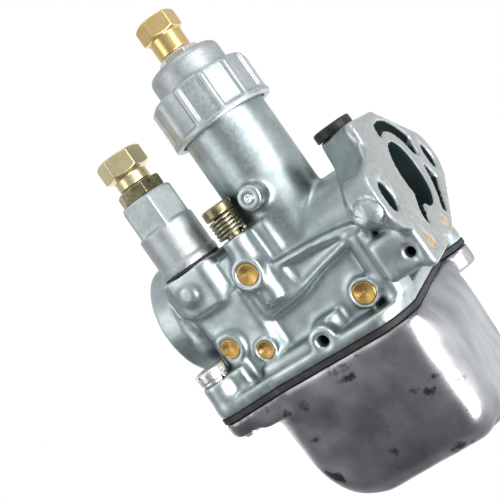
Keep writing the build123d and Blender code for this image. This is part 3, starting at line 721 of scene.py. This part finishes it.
def lay_floor():
    low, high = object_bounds()
    bpy.ops.mesh.primitive_plane_add(
        size=FLOOR_SIZE,
        location=(
            (low.x + high.x) / 2,
            low.y + FLOOR_SETBACK + FLOOR_SIZE / 2,
            low.z - FLOOR_GAP,
        ),
    )
    floor = bpy.context.object
    floor.name = "paper_floor"
    paper = soft_material(
        "paper", (0.86, 0.86, 0.86), (0.9, 0.9, 0.9), rough=0.8, depth=1e-6, grain=40
    )
    surface = paper.node_tree.nodes["Principled BSDF"]
    surface.inputs["Emission Color"].default_value = WHITE
    surface.inputs["Emission Strength"].default_value = FLOOR_GLOW
    floor.data.materials.append(paper)


def set_world():
    """Soft light, dimmer from the front, with plain white behind the object."""
    world = bpy.data.worlds.new("studio")
    bpy.context.scene.world = world
    world.use_nodes = True
    tree = world.node_tree
    new, link = tree.nodes.new, tree.links.new
    way = new("ShaderNodeTexCoord")
    dot = new("ShaderNodeVectorMath")
    dot.operation = "DOT_PRODUCT"
    dot.inputs[1].default_value = FRONT
    link(way.outputs["Generated"], dot.inputs[0])
    spread = new("ShaderNodeMapRange")
    spread.inputs["From Min"].default_value = -1.0
    link(dot.outputs["Value"], spread.inputs["Value"])
    ramp = new("ShaderNodeValToRGB")
    link(spread.outputs["Result"], ramp.inputs["Fac"])
    stops = ramp.color_ramp.elements
    stops[0].position, stops[0].color = WORLD_TONES[0]
    stops[1].position, stops[1].color = WORLD_TONES[2]
    stops.new(WORLD_TONES[1][0]).color = WORLD_TONES[1][1]
    rays = new("ShaderNodeLightPath")
    pick = new("ShaderNodeMix")
    pick.data_type = "RGBA"
    link(rays.outputs["Is Camera Ray"], pick.inputs["Factor"])
    link(ramp.outputs["Color"], pick.inputs[COLOUR_A])
    pick.inputs[COLOUR_B].default_value = WHITE
    sky = tree.nodes["Background"]
    link(pick.outputs[COLOUR_OUT], sky.inputs["Color"])
    sky.inputs["Strength"].default_value = 1.0


# ---- lamps --------------------------------------------------------------------------------------
AIM = Vector((-0.04, 0.0, 0.0))
AREA_LAMPS = {    # name: place from AIM in metres, watts, width and height in metres
    "soft_right": ((0.345, -0.30, -0.18), 2.4, (0.19, 0.28)),
    "soft_side": ((0.43, -0.15, 0.07), 0.62, (0.19, 0.24)),
    "soft_left": ((-0.25, -0.36, 0.10), 0.42, (0.24, 0.34)),
}


def lamp(name, kind, offset, energy):
    """A lamp that points at AIM."""
    data = bpy.data.lights.new(name, kind)
    data.energy = energy
    obj = bpy.data.objects.new(name, data)
    bpy.context.scene.collection.objects.link(obj)
    place = AIM + Vector(offset)
    obj.location = place
    obj.rotation_euler = (AIM - place).to_track_quat("-Z", "Y").to_euler()
    return data


lay_floor()
set_world()
lamp("sun", "SUN", (0.3, -0.2, 1.0), 0.4).angle = math.radians(30)
for name, (offset, energy, size) in AREA_LAMPS.items():
    panel = lamp(name, "AREA", offset, energy)
    panel.shape = "RECTANGLE"
    panel.size, panel.size_y = size


# ---- camera -------------------------------------------------------------------------------------
AZIMUTH, ELEVATION, ROLL = map(math.radians, (25.76, 0.98, -34.97))
TARGET = Vector((-0.0421, 0.0, 0.006))
DISTANCE = 0.19955
FOCAL_LENGTH_MM = 60.7752
SENSOR_MM = 36


def set_camera():
    camera = bpy.data.objects.new("camera", bpy.data.cameras.new("camera"))
    bpy.context.scene.collection.objects.link(camera)
    back = Vector((
        math.sin(AZIMUTH) * math.cos(ELEVATION),
        -math.cos(AZIMUTH) * math.cos(ELEVATION),
        math.sin(ELEVATION),
    ))
    side = (-back).cross(Vector((0, 0, 1))).normalized()
    up = side.cross(-back)
    right = side * math.cos(ROLL) + up * math.sin(ROLL)
    top = -side * math.sin(ROLL) + up * math.cos(ROLL)
    place = TARGET + back * DISTANCE
    camera.matrix_world = Matrix((
        (right.x, top.x, back.x, place.x),
        (right.y, top.y, back.y, place.y),
        (right.z, top.z, back.z, place.z),
        (0, 0, 0, 1),
    ))
    camera.data.sensor_width = SENSOR_MM
    camera.data.lens = FOCAL_LENGTH_MM
    camera.data.clip_start = 0.01
    bpy.context.scene.camera = camera


set_camera()
bpy.context.scene.view_settings.view_transform = "Standard"
